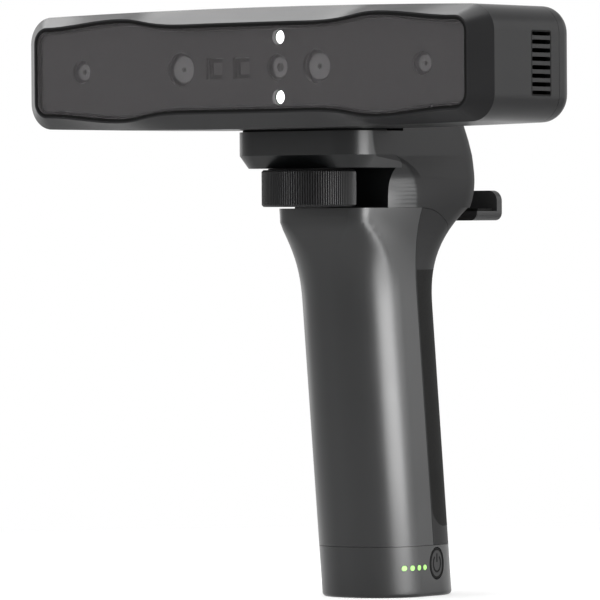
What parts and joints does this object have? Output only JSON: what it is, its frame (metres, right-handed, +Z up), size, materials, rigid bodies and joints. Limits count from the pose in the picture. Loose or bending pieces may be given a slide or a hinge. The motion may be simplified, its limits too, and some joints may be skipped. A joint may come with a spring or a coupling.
{
  "type": "three-d scanner",
  "caption": "Hand-held three-d scanning head with a dark front window, held by a knurled clamping wheel on a battery grip, with a sprung power button and a tilting phone clamp behind it.",
  "frame": {"origin": "mouth of the threaded tripod bush, at the middle of the flat foot that the grip stands on", "axes": "+Z up, -Y the way the scanning window faces, +X to the right of a viewer facing the window"},
  "size_m": [0.215, 0.127, 0.2184],
  "materials": {
    "head_shell": "satin",
    "tinted_window": "gloss",
    "seal": "matte",
    "black_plastic": "matte",
    "glass": "gloss",
    "board": "satin",
    "white_light": "gloss",
    "green_light": "gloss",
    "aluminium": "satin",
    "brass": "satin",
    "steel": "satin",
    "wheel_metal": "satin",
    "grip_shell": "satin",
    "rubber": "matte",
    "cell_wrap": "satin",
    "cradle": "matte"
  },
  "bodies": {
    "scanner": {"head_front_frame": "head_shell", "head_body_shell": "head_shell", "head_rear_cover": "head_shell", "front_window": "tinted_window", "window_seal": "seal", "sensor_mask": "black_plastic", "left_outer_camera": "black_plastic", "left_inner_camera": "black_plastic", "colour_camera": "black_plastic", "right_inner_camera": "black_plastic", "right_outer_camera": "black_plastic", "left_projector": "black_plastic", "right_projector": "black_plastic", "fan_frame": "black_plastic", "clamp_bracket": "black_plastic", "sensor_glasses": "glass", "light_board": "board", "main_board": "board", "button_board": "board", "charge_board": "board", "fill_lights": "white_light", "status_light": "white_light", "charge_lights": "green_light", "optics_bench": "aluminium", "heat_sink": "aluminium", "head_insert": "brass", "tripod_bush": "brass", "hinge_pin": "steel", "rear_cover_screws": "steel", "board_screws": "steel", "saddle_screws": "steel", "grip_screws": "steel", "base_screws": "steel", "bracket_screws": "steel", "data_socket": "steel", "charging_socket": "steel", "saddle_housing": "grip_shell", "grip_front_shell": "grip_shell", "grip_rear_shell": "grip_shell", "base_cap": "grip_shell", "saddle_pad": "rubber", "grip_pad": "rubber", "front_cell": "cell_wrap", "rear_cell": "cell_wrap", "cell_cradle": "cradle"},
    "wheel": {"clamp_wheel": "wheel_metal", "clamp_stud": "steel", "thrust_washer": "steel"},
    "power_key": {"power_button": "black_plastic"},
    "minus_key": {"minus_button": "black_plastic"},
    "scan_key": {"scan_button": "black_plastic"},
    "plus_key": {"plus_button": "black_plastic"},
    "rotor": {"fan_rotor": "black_plastic"},
    "phone_clamp": {"clamp_back": "black_plastic", "lower_jaw": "black_plastic", "lower_jaw_pad": "rubber", "back_pad": "rubber"},
    "sliding_jaw": {"upper_jaw": "black_plastic", "jaw_rods": "steel", "upper_jaw_pad": "rubber"}
  },
  "joints": [
    {"name": "wheel_turn", "type": "hinge", "parent": "scanner", "child": "wheel", "pos_m": [0, -0.0465, 0.152], "axis": [0, 0, 1], "continuous": true},
    {"name": "power_press", "type": "slide", "parent": "scanner", "child": "power_key", "axis": [-1, 0, 0], "range_m": [0, 0.0008], "stiffness_N_per_m": 1000, "springref_m": -0.0004},
    {"name": "minus_press", "type": "slide", "parent": "scanner", "child": "minus_key", "axis": [0, -1, 0], "range_m": [0, 0.0006], "stiffness_N_per_m": 1000, "springref_m": -0.0004},
    {"name": "scan_press", "type": "slide", "parent": "scanner", "child": "scan_key", "axis": [0, -1, 0], "range_m": [0, 0.0006], "stiffness_N_per_m": 1000, "springref_m": -0.0004},
    {"name": "plus_press", "type": "slide", "parent": "scanner", "child": "plus_key", "axis": [0, -1, 0], "range_m": [0, 0.0006], "stiffness_N_per_m": 1000, "springref_m": -0.0004},
    {"name": "fan_spin", "type": "hinge", "parent": "scanner", "child": "rotor", "pos_m": [0.0465, -0.0645, 0.1962], "axis": [0, 1, 0], "continuous": true},
    {"name": "clamp_tilt", "type": "hinge", "parent": "scanner", "child": "phone_clamp", "pos_m": [0, 0.02, 0.1928], "axis": [1, 0, 0], "range_deg": [0, 30]},
    {"name": "jaw_slide", "type": "slide", "parent": "phone_clamp", "child": "sliding_jaw", "axis": [0, 0, 1], "range_m": [0, 0.025]}
  ]
}
